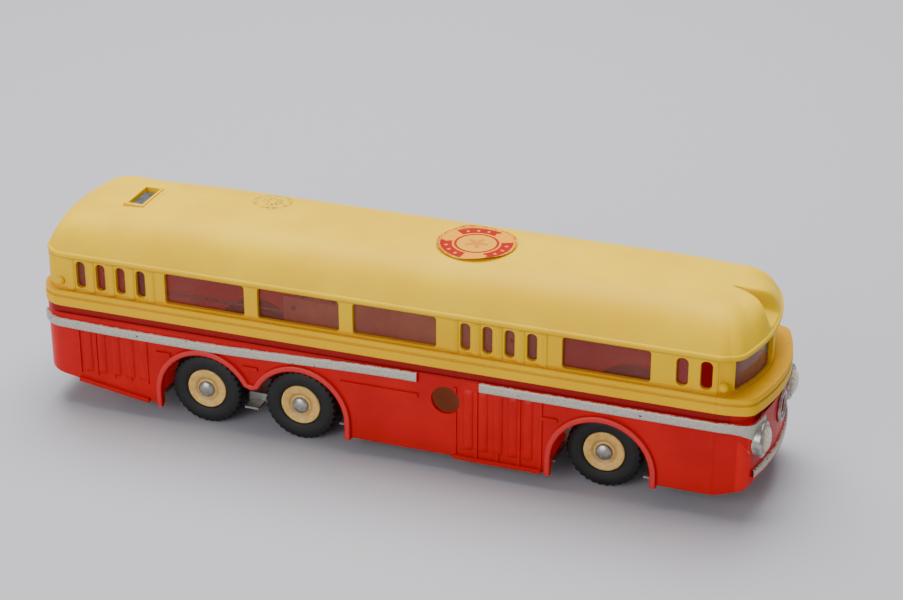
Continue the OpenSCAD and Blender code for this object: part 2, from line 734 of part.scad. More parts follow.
// Tinplate base with its wheel cut-outs, axle ears, lever ears and motor slots
module base_outline() {
  x0 = rear_x + base_rear_end;
  x1 = front_x - base_front_end;
  y1 = base_half_w - base_corner;
  polygon([[x1, -y1], [x1, y1], [x1 - base_corner, base_half_w], [x0 + base_corner, base_half_w],
    [x0, y1], [x0, -y1], [x0 + base_corner, -base_half_w], [x1 - base_corner, -base_half_w]]);
}
module ears(x, y) {
  for (side = [-1, 1])
    translate([x - ear_l / 2, side * y - tin_t / 2, base_z]) cube([ear_l, tin_t, axle_z + ear_up - base_z]);
}
module base_plate() {
  rear_in = rear_track_y - tyre_w - wheel_room;
  front_in = front_track_y - tyre_w - wheel_room;
  r = tyre_r + wheel_room;
  color(tin) difference() {
    union() {
      difference() {
        translate([0, 0, base_z]) linear_extrude(tin_t) base_outline();
        for (side = [0, 1]) mirror([0, side, 0]) {
          for (x = [rear_axle_x, mid_axle_x])
            translate([x - r, rear_in, 0]) cube([2 * r, far, far]);
          translate([front_axle_x - r, front_in, 0]) cube([2 * r, far, far]);
        }
      }
      for (side = [0, 1]) mirror([0, side, 0]) {
        translate([(rear_axle_x + mid_axle_x - flange_l) / 2, 0, base_z]) cube([flange_l, flange_y, tin_t]);
        translate([(rear_axle_x + mid_axle_x - flange_l) / 2, flange_y - tin_t, base_z])
          cube([flange_l, tin_t, flange_h]);
      }
      ears(rear_axle_x, rear_ear_y);
      ears(front_axle_x, front_ear_y);
      for (x = [lever_x - lever_t / 2 - loose_gap - tin_t, lever_x + lever_t / 2 + loose_gap])
        translate([x, -lever_w / 2, base_z]) cube([tin_t, lever_w, pivot_z + lever_ear_up - base_z]);
    }
    for (x = [rear_axle_x, front_axle_x]) at([x, axle_z]) pin(axle_r + run_gap, -far, far);
    translate([lever_x - lever_w / 2, 0, pivot_z]) rotate([0, 90, 0])
      cylinder(r = pivot_r + seat_gap, h = lever_w);
    for (side = [-1, 1], x = screw_places)
      translate([x, side * screw_y, 0]) cylinder(r = screw_r + loose_gap, h = far);
    for (g = gear_slots)
      translate([g[0] - g[1], g[2] - slot_room, base_z - cut])
        cube([2 * g[1], g[3] + 2 * slot_room, tin_t + 2 * cut]);
    for (side = [-1, 1], x = [plate_rear + foot_in, plate_front - foot_in])
      translate([x, side * (plate_y + motor_plate_t / 2), base_z])
        cube([foot_w + 2 * loose_gap, motor_plate_t + 2 * loose_gap, 2 * tin_t + cut], center = true);
  }
}
module base_screws() {
  color(steel) for (side = [-1, 1], x = screw_places) translate([x, side * screw_y, base_z]) {
    difference() {
      translate([0, 0, -screw_head_h]) cylinder(r = screw_head_r, h = screw_head_h);
      translate([-far / 2, -screw_slot / 2, -screw_head_h - cut]) cube([far, screw_slot, cut + screw_slot]);
    }
    cylinder(r = screw_r, h = screw_l + tin_t);
  }
}

// Motor frame
module motor_plate(side) {
  low = side < 0 ? -plate_y - motor_plate_t : plate_y;
  color(steel) difference() {
    along_y(low, low + motor_plate_t) difference() {
      union() {
        translate([plate_rear, base_top]) square([plate_front - plate_rear, plate_top - base_top]);
        for (x = [plate_rear + foot_in, plate_front - foot_in])
          translate([x - foot_w / 2, base_z - foot_out]) square([foot_w, tin_t + foot_out + cut]);
      }
      translate([plate_rear - cut, plate_top - plate_step_h])
        square([plate_step_x - plate_rear, plate_step_h + cut]);
    }
    at(axle_xz) pin(axle_r + run_gap, -far, far);
    at(arbor_xz) pin(winding_r + run_gap, -far, far);
    for (p = [second_xz, third_xz]) at(p) pin(arbor_r + run_gap, -far, far);
    for (p = post_places) at(p) pin(post_end_r + seat_gap, -far, far);
  }
}
module motor_plate_right() {
  motor_plate(-1);
}
module motor_plate_left() {
  motor_plate(1);
}
module motor_pillars() {
  color(brass) for (p = post_places) at(p) {
    pin(post_r, -plate_y, plate_y);
    pin(post_end_r, -plate_y - motor_plate_t - pin_out, plate_y + motor_plate_t + pin_out);
  }
}
// Spiral strip, wound out from the arbor, with a tail that ends on the front lower pillar
module mainspring() {
  p = post_places[0];
  end_r = norm(p - arbor_xz) - post_r - spring_t / 2 - seat_gap;
  end_a = direction(arbor_xz, p);
  n = spring_turns * spring_steps;
  mid = [for (i = [0:n]) let (u = i / n, tail = smooth((u - spring_tail) / (1 - spring_tail)))
    [end_a + 360 * spring_turns * (u - 1),
      spring_in_r + (spring_r - spring_in_r) * u + (end_r - spring_r) * tail]];
  echo(least_gap_between_spring_turns = min([for (i = [0:n - spring_steps])
    mid[i + spring_steps][1] - mid[i][1] - spring_t]));
  color(steel) at(arbor_xz) along_y(spring_y, spring_y + spring_w)
    polygon(concat([for (m = mid) (m[1] + spring_t / 2) * [cos(m[0]), sin(m[0])]],
      [for (i = [n:-1:0]) (mid[i][1] - spring_t / 2) * [cos(mid[i][0]), sin(mid[i][0])]]));
}

// Involute gear with a tooth on the direction phase; 25 degree teeth with shortened tips
pressure = 25;
tip = 0.8;
root = 1.15;
backlash = 0.16;
function involute(a) = tan(a) * 180 / PI - a;
function flank(r, n) =
  let (rp = gear_m * n / 2, rb = rp * cos(pressure), a = r > rb ? acos(rb / r) : 0)
  90 / n - backlash / rp * 90 / PI + involute(pressure) - involute(a);
module gear(n, phase, y, t, bore) {
  rp = gear_m * n / 2;
  low = max(rp - root * gear_m, rp * cos(pressure));
  radii = [rp - root * gear_m, low, rp, rp + tip * gear_m];
  along_y(y, y + t) difference() {
    polygon([for (i = [0:n - 1], side = [-1, 1], k = [0:3])
      let (r = side < 0 ? radii[k] : radii[3 - k], a = phase + 360 * i / n + side * flank(max(r, low), n))
      r * [cos(a), sin(a)]]);
    circle(bore);
  }
}
second_dir = direction(arbor_xz, second_xz);
third_dir = direction(second_xz, third_xz);
axle_dir = direction(third_xz, axle_xz);
function meshed(dir, n) = dir + 180 + 180 / n;
function pinion_y(wheel_y) = wheel_y + (gear_t - pinion_t) / 2;

module winding_arbor() {
  color(steel) at(arbor_xz) {
    pin(winding_r, -plate_y - motor_plate_t - pin_out, plate_y + motor_plate_t + pin_out);
    translate([-key_square / 2, -plate_y - motor_plate_t - arbor_out, -key_square / 2])
      cube([key_square, arbor_out, key_square]);
  }
}
module great_wheel() {
  color(brass) at(arbor_xz) gear(great_n, second_dir, great_y, gear_t, winding_r + seat_gap);
}
module ratchet_wheel() {
  color(steel) at(arbor_xz) along_y(ratchet_y, ratchet_y + ratchet_t) difference() {
    polygon([for (i = [0:ratchet_n - 1], k = [0, 1])
      let (a = (i + ratchet_lean * k) * 360 / ratchet_n, r = ratchet_r - ratchet_tooth * k)
      r * [cos(a), sin(a)]]);
    circle(winding_r + seat_gap);
  }
}
// Sprung click, riveted to the great wheel, with its nose in a tooth of the ratchet
module ratchet_click() {
  color(brass) at(arbor_xz) along_y(ratchet_y, ratchet_y + click_t) difference() {
    translate([0, ratchet_r]) {
      translate([0, click_pivot]) circle(click_r);
      polygon(click_arm);
    }
    circle(ratchet_r + mesh_gap);
  }
}
module wheel_arbor(xz) {
  color(steel) at(xz) pin(arbor_r, -plate_y - motor_plate_t - pin_out, plate_y + motor_plate_t + pin_out);
}
module second_arbor() {
  wheel_arbor(second_xz);
}
module second_pinion() {
  color(steel) at(second_xz)
    gear(pinion_n, meshed(second_dir, pinion_n), pinion_y(great_y), pinion_t, arbor_r + seat_gap);
}
module second_wheel() {
  color(brass) at(second_xz) gear(wheel_n, third_dir, second_y, gear_t, arbor_r + seat_gap);
}
module third_arbor() {
  wheel_arbor(third_xz);
}
module third_pinion() {
  color(steel) at(third_xz)
    gear(pinion_n, meshed(third_dir, pinion_n), pinion_y(second_y), pinion_t, arbor_r + seat_gap);
}
module third_wheel() {
  color(brass) at(third_xz) gear(wheel_n, axle_dir, third_y, gear_t, arbor_r + seat_gap);
}
module axle_pinion() {
  color(steel) at(axle_xz)
    gear(pinion_n, meshed(axle_dir, pinion_n), pinion_y(third_y), pinion_t, axle_r + seat_gap);
}

// Axles and wheels
module axle(x, face_y) {
  end_y = face_y - face_in - axle_end_in;
  color(steel) at([x, axle_z]) pin(axle_r, -end_y, end_y);
}
module front_axle() {
  axle(front_axle_x, front_track_y);
}
module mid_axle() {
  axle(mid_axle_x, rear_track_y);
}
module rear_axle() {
  axle(rear_axle_x, rear_track_y);
}
// Places a wheel piece, drawn with its outer face at z = 0 and its inside below
module wheel_place(x, face_y, side) {
  at([x, axle_z]) mirror([0, side < 0 ? 1 : 0, 0]) translate([0, face_y, 0]) rotate([-90, 0, 0]) children();
}
module hub() {
  color(cream) rotate_extrude() difference() {
    translate([axle_r + seat_gap, -face_in - hub_w]) square([hub_r - axle_r - seat_gap, hub_w]);
    translate([cap_r + hub_boss, -face_in - hub_w - cut])
      square([hub_r - cap_r - hub_boss - hub_rim, cut + hub_hollow]);
  }
}
module tyre() {
  bore = hub_r + seat_gap;
  tread = curve([tyre_r, 0] - tread_edge, [tyre_r - tread_bend, -tread_bend], [tyre_r, -tyre_shoulder], 3);
  color(rubber) rotate_extrude() polygon(concat(
    [[bore, -tyre_w + face_in], [bore, -face_in]],
    curve([bore + bead[0], -face_in], [bore + bead[1], 0], [bore + bead[2], 0], 3),
    tread, [for (i = [len(tread) - 1:-1:0]) [tread[i][0], -tyre_w - tread[i][1]]],
    curve([bore + bead[2], -tyre_w], [bore + bead[1], -tyre_w], [bore + bead[0], -tyre_w + face_in], 3)));
}
module cap() {
  color(tin) rotate_extrude() polygon(concat([[0, -face_in]],
    [for (i = [0:cap_steps]) let (a = i * 90 / cap_steps)
      [cap_r * cos(a), -face_in + cap_rim + (cap_h - cap_rim) * sin(a)]]));
}
module front_hub_right() {
  wheel_place(front_axle_x, front_track_y, -1) hub();
}
module front_hub_left() {
  wheel_place(front_axle_x, front_track_y, 1) hub();
}
module mid_hub_right() {
  wheel_place(mid_axle_x, rear_track_y, -1) hub();
}
module mid_hub_left() {
  wheel_place(mid_axle_x, rear_track_y, 1) hub();
}
module rear_hub_right() {
  wheel_place(rear_axle_x, rear_track_y, -1) hub();
}
module rear_hub_left() {
  wheel_place(rear_axle_x, rear_track_y, 1) hub();
}
module front_tyre_right() {
  wheel_place(front_axle_x, front_track_y, -1) tyre();
}
module front_tyre_left() {
  wheel_place(front_axle_x, front_track_y, 1) tyre();
}
module mid_tyre_right() {
  wheel_place(mid_axle_x, rear_track_y, -1) tyre();
}
module mid_tyre_left() {
  wheel_place(mid_axle_x, rear_track_y, 1) tyre();
}
module rear_tyre_right() {
  wheel_place(rear_axle_x, rear_track_y, -1) tyre();
}
module rear_tyre_left() {
  wheel_place(rear_axle_x, rear_track_y, 1) tyre();
}
module front_cap_right() {
  wheel_place(front_axle_x, front_track_y, -1) cap();
}
module front_cap_left() {
  wheel_place(front_axle_x, front_track_y, 1) cap();
}
module mid_cap_right() {
  wheel_place(mid_axle_x, rear_track_y, -1) cap();
}
module mid_cap_left() {
  wheel_place(mid_axle_x, rear_track_y, 1) cap();
}
module rear_cap_right() {
  wheel_place(rear_axle_x, rear_track_y, -1) cap();
}
module rear_cap_left() {
  wheel_place(rear_axle_x, rear_track_y, 1) cap();
}

// Stop lever: a strip on a pivot pin, bent over at the roof into the thumb tab
module stop_lever() {
  color(tin) difference() {
    union() {
      translate([lever_x - lever_t / 2, -lever_w / 2, pivot_z - lever_foot])
        cube([lever_t, lever_w, tab_z - pivot_z + lever_foot]);
      translate([lever_x - lever_t / 2, -lever_w / 2, tab_z - lever_t]) cube([tab_l, lever_w, lever_t]);
    }
    translate([lever_x - lever_w / 2, 0, pivot_z]) rotate([0, 90, 0])
      cylinder(r = pivot_r + run_gap, h = lever_w);
    translate([lever_x - lever_w / 2, wire_y, wire_z]) rotate([0, 90, 0])
      cylinder(r = wire_r + seat_gap, h = lever_w);
  }
}
module lever_pin() {
  l = lever_t / 2 + loose_gap + tin_t;
  color(steel) translate([lever_x, 0, pivot_z]) rotate([0, 90, 0]) {
    translate([0, 0, -l - lever_pin_out]) cylinder(r = pivot_r, h = 2 * (l + lever_pin_out));
    translate([0, 0, -l - seat_gap - lever_head_h]) cylinder(r = lever_head_r, h = lever_head_h);
  }
}
module stop_wire() {
  color(steel) translate([lever_x - lever_t, wire_y, wire_z]) rotate([0, 90, 0])
    cylinder(r = wire_r, h = wire_end - lever_x + lever_t);
}

upper_body();
lower_body();
glazing_right();
glazing_left();
windscreen();
rear_window();
headlamp_right();
headlamp_left();
base_plate();
base_screws();
motor_plate_right();
motor_plate_left();
motor_pillars();
mainspring();
winding_arbor();
great_wheel();
ratchet_wheel();
ratchet_click();
second_arbor();
second_pinion();
second_wheel();
third_arbor();
third_pinion();
third_wheel();
axle_pinion();
front_axle();
mid_axle();
rear_axle();
front_hub_right();
front_hub_left();
mid_hub_right();
mid_hub_left();
rear_hub_right();
rear_hub_left();
front_tyre_right();
front_tyre_left();
mid_tyre_right();
mid_tyre_left();
rear_tyre_right();
rear_tyre_left();
front_cap_right();
front_cap_left();
mid_cap_right();
mid_cap_left();
rear_cap_right();
rear_cap_left();
stop_lever();
lever_pin();
stop_wire();
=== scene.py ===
"""Looks of the wind-up toy bus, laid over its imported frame. Lengths in the code are millimetres."""
import math

import bpy
import numpy as np
from mathutils import Matrix, Vector


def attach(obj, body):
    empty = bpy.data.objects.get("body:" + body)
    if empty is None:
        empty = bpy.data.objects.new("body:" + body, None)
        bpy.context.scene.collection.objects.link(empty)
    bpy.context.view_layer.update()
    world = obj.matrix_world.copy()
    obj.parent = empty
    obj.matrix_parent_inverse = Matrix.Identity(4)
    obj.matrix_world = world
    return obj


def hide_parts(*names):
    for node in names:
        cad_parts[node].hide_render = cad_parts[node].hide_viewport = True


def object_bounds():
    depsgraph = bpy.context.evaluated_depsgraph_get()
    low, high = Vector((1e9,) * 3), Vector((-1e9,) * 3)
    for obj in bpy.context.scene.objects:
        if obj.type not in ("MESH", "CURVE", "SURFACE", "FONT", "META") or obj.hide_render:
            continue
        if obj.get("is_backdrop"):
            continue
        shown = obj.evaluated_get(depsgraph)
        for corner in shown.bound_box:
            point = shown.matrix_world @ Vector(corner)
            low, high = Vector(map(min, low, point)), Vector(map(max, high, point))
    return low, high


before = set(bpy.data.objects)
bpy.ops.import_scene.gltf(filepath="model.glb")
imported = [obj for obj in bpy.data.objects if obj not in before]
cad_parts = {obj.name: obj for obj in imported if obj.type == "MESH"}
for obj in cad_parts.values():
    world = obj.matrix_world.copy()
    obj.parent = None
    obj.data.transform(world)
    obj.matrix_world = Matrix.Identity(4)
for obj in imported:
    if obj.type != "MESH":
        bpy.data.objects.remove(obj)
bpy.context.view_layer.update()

MM = 0.001
TURN = 2 * math.pi
SIDES = ((-1, "right"), (1, "left"))
FORWARD = (1, 0, 0)

# Body: half width, ends, front corners, and the heights of its level lines
HALF_W = 30.0
FRONT_X, REAR_X = 134.4, -134.4
CORNER_IN, CORNER_R, TAPER_L = 2.2, 3.0, 17.0
ROOF_Z = 73.9
GUTTER_TOP, GUTTER_Z = 61.2, 59.4
BELT_TOP, BELT_GROOVE_Z, JOINT_Z = 46.0, 43.6, 39.9

# Plan lines: set back and bow of the nose, set in and bow of the rear, radius of the rear corners
BELT_LINE = (0.0, 5.5, 0.0, 0.8, 9.0)
RED_LINE = (1.2, 4.3, 0.0, 0.8, 9.0)
ROOF_LINE = (4.9, 5.5, 0.1, 2.9, 10.0)

# Roof: falls of the ridge as (length, fall), ends of the spine, powers of the cross curve and their blends
NOSE_FALL, REAR_FALL = (48.0, 4.4), (70.0, 3.5)
SPINE_FRONT = FRONT_X - ROOF_LINE[0] - 20.7
SPINE_REAR = REAR_X + 22.9
ROOF_POWER = 4.5
VISOR_POWER, VISOR_BLEND = 0.9, 15.7
TAIL_POWER, TAIL_BLEND = 2.2, 13.7
BROW_POWER, BROW_HALF_W, BROW_BLEND = 4.5, 8.0, 12.0
SKIN = 0.32

# Notch over the windscreen: its start and length, half width from the tip on, and the fall of its floor
NOTCH_X, NOTCH_L = 112.4, 18.0
NOTCH_TIP, NOTCH_GAIN, NOTCH_POWER = 0.5, 10.5, 2.6
NOTCH_FLOOR_X, NOTCH_FLOOR_L = 113.5, 17.0
NOTCH_FLOOR_Z, NOTCH_FLOOR_FALL = 71.6, 10.2

# Hole in the roof skin over the lever's pad
PAD_X, PAD_HALF_L, PAD_HALF_W = -103.6, 4.2, 8.7
PAD_SOFT, PAD_SINK = 0.9, 5.0

# Marks in the yellow and red: ink ring, parting lines, spans of the door slots, reach of the inner walls'
# painted glow
INK_X, INK_Y = -57.6, 10.3
SEAM_FRONT, SEAM_REAR, SEAM_SOFT = 117.3, -126.4, 0.15
REAR_SLOTS, MID_SLOTS, SLOT_SOFT = (-121.0, -90.5), (25.5, 57.5), 0.8
INNER_X, INNER_Y = (-132.6, 129.0), 28.7

# Wheels: height of the axles, tyre, hub and cap, and each axle's x with the outer face of its wheels
AXLE_Z = 13.6
TYRE_R, TYRE_W = 13.6, 8.6
HUB_R, CAP_R = 7.4, 3.1
LUGS, LUG_DEPTH = 34, 0.55
AXLES = {"front": (77.6, 23.0), "mid": (-33.3, 27.0), "rear": (-69.8, 27.0)}

# Wheel arches: centres, radius, heights of the lip's feet, and depth of the well behind
ARCH_Z, ARCH_TIP, ARCH_END = 11.9, 18.8, math.radians(27)
TANDEM_AHEAD, FRONT_AHEAD = 1.3, 0.9
ARCHES = {
    "rear": ([(AXLES[axle][0] + TANDEM_AHEAD, ARCH_Z) for axle in ("rear", "mid")], 17.3, (5.6, 5.6), 13.0),
    "front": ([(AXLES["front"][0] + FRONT_AHEAD, ARCH_Z)], 17.6, (5.6, 7.8), 17.5),
}
LIP_W, LIP_PROUD = 2.15, 1.35
WELL_Z, WELL_END_Z, WELL_OUT, WELL_WALL = 12.0, 16.5, 0.4, 0.8

# Silver strips and bumper: gaps at the key hole, edges, rise and lift of the long strip, flare at the lamp
KEY_X, KEY_GAP_REAR, KEY_GAP_FRONT = 22.7, 9.7, 11.7
STRIP_IN, STRIP_PROUD = 0.2, 1.05
LONG_DROP, LONG_W, LONG_OVER = 5.7, 3.4, 0.25
LONG_RISE, LONG_RISE_X, LONG_RISE_L = 2.2, AXLES["rear"][0] - 5.2, 85.0
LONG_LIFT, LONG_LIFT_X, LONG_LIFT_L = 0.8, LONG_RISE_X - 14.0, 45.0
LONG_ENDS = (REAR_X + 0.3, KEY_X - KEY_GAP_REAR)
SHORT_LOW, SHORT_HIGH = JOINT_Z - 6.85, JOINT_Z - 3.15
SHORT_ENDS = (KEY_X + KEY_GAP_FRONT, 132.3)
FLARE_RUN, FLARE_L = 118.4 - SHORT_ENDS[0], 18.0
FLARE_DOWN, FLARE_UP = 11.0, 0.3
BUMPER_LOW, BUMPER_HIGH = 15.4, 18.4
BUMPER_ENDS = (130.4, 134.3)

# Door ribs on the right side: (half width, height), first places, pitches, and ends of the panel ribs
DOOR_RIBS = 5
SLOT_RIB, SLOT_PITCH, SLOT_SINK = (1.7, 0.7), 7.9, 0.9
SLOT_FIRST = {"rear": -120.1, "mid": 25.6}
SLOT_CREST = -0.35
PANEL_RIB = (1.9, 0.6)
PANELS = {"rear": (-115.0, 5.6, 14.5, 32.0), "mid": (31.0, 5.4, 9.5, 33.0)}

# Lamps and their bezels, front ring, roof sticker
LAMP_Y, LAMP_Z, LAMP_R, LAMP_OUT = 21.5, 28.6, 4.5, 1.4
BEZEL_R, BEZEL_ROLL = 5.5, 0.95
RING_R, RING_Z = 4.8, JOINT_Z - 9.5
STICKER_X, STICKER_Y, STICKER_R, STICKER_LIFT = 23.5, 0.0, 14.0, 0.22


def lin(r, g, b):
    """Linear colour of an 8-bit display colour."""
    c = np.array([r, g, b]) / 255.0
    return tuple(np.where(c <= 0.04045, c / 12.92, ((c + 0.055) / 1.055) ** 2.4).tolist()) + (1.0,)


def smooth(t):
    """0 below 0, 1 above 1, and 3t^2 - 2t^3 between."""
    t = np.clip(t, 0.0, 1.0)
    return t * t * (3.0 - 2.0 * t)


def bend(a, b, c, n):
    """n points of the quadratic curve from a to c that leaves towards b."""
    t = np.linspace(0.0, 1.0, n)[:, None]
    return (1 - t) ** 2 * np.array(a) + 2 * t * (1 - t) * np.array(b) + t ** 2 * np.array(c)


class Val:
    """A shader socket that takes part in arithmetic; make() adds a node and returns one output."""

    def __init__(self, tree, socket):
        self.tree, self.socket = tree, socket

    def make(self, kind, inputs, out=0, **props):
        node = self.tree.nodes.new("ShaderNode" + kind)
        for key, value in props.items():
            setattr(node, key, value)
        for key, value in (inputs if isinstance(inputs, dict) else dict(enumerate(inputs))).items():
            if isinstance(value, Val):
                self.tree.links.new(value.socket, node.inputs[key])
            else:
                node.inputs[key].default_value = value
        return Val(self.tree, node.outputs[out])

    def op(self, name, *values):
        return self.make("Math", values, operation=name)

    def __add__(self, o):
        return self.op("ADD", self, o)

    __radd__ = __add__

    def __sub__(self, o):
        return self.op("SUBTRACT", self, o)

    def __rsub__(self, o):
        return self.op("SUBTRACT", o, self)

    def __mul__(self, o):
        return self.op("MULTIPLY", self, o)

    __rmul__ = __mul__

    def __pow__(self, o):
        return self.op("POWER", self, o)

    def __abs__(self):
        return self.op("ABSOLUTE", self)

    def sine(self):
        """Sine of this angle."""
        return self.op("SINE", self)

    def cosine(self):
        """Cosine of this angle."""
        return self.op("COSINE", self)

    def step(self, low, high):
        """Smooth step of this value from low to high."""
        return self.make("MapRange", {0: self, 1: low, 2: high}, interpolation_type="SMOOTHSTEP")

    def inside(self, low, high, soft):
        """1 between low and high, 0 outside, with edges soft wide."""
        return self.step(low - soft, low) * (1 - self.step(high, high + soft))

    def mix(self, a, b):
        """Colour a where this value is 0 and b where it is 1."""
        return self.make("Mix", {0: self, 6: a, 7: b}, out=2, data_type="RGBA")

    def noise(self, scale, detail, rough=0.5):
        """Noise over this vector, about 0 to 1."""
        return self.make("TexNoise", {"Vector": self, "Scale": scale, "Detail": detail, "Roughness": rough})

    def parts(self):
        """The vector's three numbers."""
        node = self.make("SeparateXYZ", (self,)).socket.node
        return [Val(self.tree, o) for o in node.outputs]

    def stretched(self, x, y, z):
        """This vector with its three numbers multiplied."""
        return self.make("Mapping", {"Vector": self, "Scale": (x, y, z)})

    def bump(self, distance, strength):
        """Surface normal of this height."""
        return self.make("Bump", {"Height": self, "Distance": distance, "Strength": strength})


def material(name, paint, **constants):
    """Principled material; paint(p, uv) takes object coordinates in mm and a UV map and gives what varies."""
    mat = bpy.data.materials.new(name)
    mat.use_nodes = True
    tree = mat.node_tree
    shader = next(n for n in tree.nodes if n.type == "BSDF_PRINCIPLED")
    for key, value in constants.items():
        shader.inputs[key.replace("_", " ")].default_value = value
    coord = tree.nodes.new("ShaderNodeTexCoord")
    p = Val(tree, coord.outputs["Object"]).stretched(1 / MM, 1 / MM, 1 / MM)
    uv = Val(tree, coord.outputs["UV"])
    for key, value in paint(p, uv).items():
        if isinstance(value, Val):
            tree.links.new(value.socket, shader.inputs[key])
        else:
            shader.inputs[key].default_value = value
    return mat


def yellow_paint(p, uv):
    """Waxy yellow plastic: faint clouding, painted shade darkening the lower walls, door flutes, parting
    lines, painted crease shade with grime by the belt and under the gutter, a worn ink ring.
    """
    x, y, z = p.parts()
    cloud = p.noise(0.035, 4.0)
    speck = p.noise(1.1, 2.0)
    base = cloud.step(0.35, 0.7).mix(lin(229, 183, 0), lin(237, 195, 3))
    # painted shade: the walls turn a darker orange from under the gutter down to the belt
    low_wall_shade = z.step(62.0, 44.0)
    base = (low_wall_shade * 0.4).mix(base, lin(234, 166, 0))
    # painted shade with some grime: darker in the belt's creases and under the gutter bead, speckled
    belt_creases = z.inside(46.0, 46.9, 0.7) + z.inside(43.3, 43.9, 0.4)
    under_gutter_bead = z.inside(58.6, 59.3, 0.6)
    crease_shade_and_grime = (belt_creases + under_gutter_bead) * (0.25 + 0.5 * speck)
    base = crease_shade_and_grime.mix(base, lin(196, 128, 20))
    from_ink = ((x - INK_X) ** 2.0 + (y - INK_Y) ** 2.0) ** 0.5
    rings = from_ink.inside(5.6, 7.2, 0.4) + from_ink.inside(1.5, 3.6, 0.8)
    ink = rings * speck.step(0.48, 0.62) * z.step(69.0, 70.0)
    base = (ink * 0.8).mix(base, lin(84, 76, 52))
    slots = x.inside(*REAR_SLOTS, SLOT_SOFT) + x.inside(*MID_SLOTS, SLOT_SOFT)
    flute = ((x - SLOT_CREST) * (TURN / SLOT_PITCH)).cosine()
    flutes = slots * flute * z.inside(47.0, 58.4, 1.0) * y.step(-28.0, -29.0)
    seam = x.inside(SEAM_FRONT, SEAM_FRONT + 0.2, SEAM_SOFT) + x.inside(SEAM_REAR, SEAM_REAR + 0.2, SEAM_SOFT)
    height = flutes * 0.5 - seam * z.step(60.0, 58.0) * 0.25 + cloud * 0.25 + speck * 0.012
    return {"Base Color": base, "Roughness": 0.34 + 0.14 * cloud, "Normal": height.bump(0.0011, 0.55)}


def red_paint(p, uv):
    """Red plastic with a cove darkened by painted shade, upright scuffs and darker clouds towards the foot;
    its inner walls give off a painted glow.
    """
    x, y, z = p.parts()
    cloud = p.noise(0.05, 4.0)
    scuff = p.stretched(0.5, 0.5, 0.06).noise(1.4, 3.0)
    cove_shade, foot = z.step(35.6, 37.4), z.step(13.0, 6.0)
    base = cloud.step(0.3, 0.7).mix(lin(180, 2, 2), lin(196, 6, 4))
    # painted shade: the cove under the yellow belt is darker red
    base = cove_shade.mix(base, lin(140, 8, 8))
    base = (scuff.step(0.62, 0.75) * 0.12).mix(base, lin(222, 62, 48))
    # darker in clouds towards the foot of the skirt
    base = (foot * cloud * 0.4).mix(base, lin(118, 24, 20))
    # painted glow: the inner walls give off dim red light of their own
    inner = (abs(y) - INNER_Y).step(0.3, 0.0) * x.inside(*INNER_X, 0.5)
    seam = x.inside(SEAM_FRONT, SEAM_FRONT + 0.3, SEAM_SOFT)
    height = cloud * 0.3 - seam * 0.25 + scuff * 0.05
    return {"Base Color": base, "Roughness": 0.3 + 0.2 * scuff, "Normal": height.bump(0.001, 0.5),
            "Emission Color": inner.mix(lin(0, 0, 0), lin(120, 14, 12))}


def lip_paint(p, uv):
    """Red of the arch lips, paler along the crown by a painted highlight and rub wear."""
    # painted highlight with rub wear: the lip's crown is paler in patches
    crown_highlight_and_wear = uv.parts()[1].inside(0.3, 0.7, 0.25)
    wear = p.noise(0.25, 4.0)
    base = (crown_highlight_and_wear * (0.2 + 0.4 * wear)).mix(lin(190, 3, 2), lin(214, 28, 20))
    return {"Base Color": base, "Roughness": 0.34 + 0.15 * wear}


def silver_paint(p, uv):
    """Silver paint, worn ragged at its edges to the red below, with a few black chips."""
    across = uv.parts()[1]
    rag = p.stretched(1.0, 1.0, 0.6).noise(0.55, 4.0, 0.65)
    fine = p.noise(2.2, 2.0)
    edge = abs(across - 0.5) * 2 + (rag - 0.5) * 0.3
    paint = 1 - edge.step(0.9, 0.95)
    base = fine.step(0.3, 0.7).mix(lin(164, 158, 146), lin(196, 192, 180))
    base = paint.mix(lin(186, 34, 29), base)
    chip = p.noise(0.42, 1.0).step(0.715, 0.735) * paint
    base = chip.mix(base, lin(26, 20, 18))
    return {"Base Color": base, "Roughness": 0.34 + 0.2 * fine, "Metallic": paint * 0.35 * (1 - chip)}


def rubber_paint(p, uv):
    """Dull black rubber with a little dust."""
    dust = p.noise(0.3, 4.0)
    return {"Base Color": (dust * 0.5).mix(lin(5, 5, 5), lin(24, 24, 24)), "Roughness": 0.55 + 0.2 * dust}


def hub_paint(p, uv):
    """Cream hub, darker brown in its ring groove."""
    groove = uv.parts()[1].inside(0.52, 0.6, 0.06)
    spot = p.noise(0.5, 4.0)
    base = spot.step(0.35, 0.65).mix(lin(206, 160, 78), lin(220, 180, 98))
    # darker brown at the ring groove
    base = (groove * 0.5).mix(base, lin(140, 104, 52))
    return {"Base Color": base, "Roughness": 0.42 + 0.15 * spot}


def grain_paint(dark, light, rough, scale):
    """Two tones of one colour in fine noise, for bare metal and dull sheet."""

    def paint(p, uv):
        grain = p.noise(scale, 4.0, 0.6)
        base = grain.step(0.3, 0.7).mix(lin(*dark), lin(*light))
        return {"Base Color": base, "Roughness": rough + 0.2 * grain}

    return paint


def lens_paint(p, uv):
    """Cream lamp lens with facets, and a ring of painted glints on them."""
    u, v = uv.parts()[:2]
    facets = 14
    spoke = (u * (TURN * facets)).cosine()
    # painted glints: the facets in a ring are lit to near white
    ring = v.inside(0.25, 0.8, 0.1)
    base = (spoke.step(-0.4, 0.8) * ring).mix(lin(206, 194, 160), lin(238, 232, 212))
    return {"Base Color": base, "Normal": (spoke * 0.4).bump(0.0006, 0.6)}


def sheet_paint(clear, cloudy, colour):
    """Clear sheet that shows some of the colour it is given, cloudier where it is scuffed."""

    def paint(p, uv):
        haze = p.noise(0.06, 3.0)
        return {"Alpha": clear + haze.step(0.45, 0.75) * cloudy, "Base Color": lin(*colour)}

    return paint


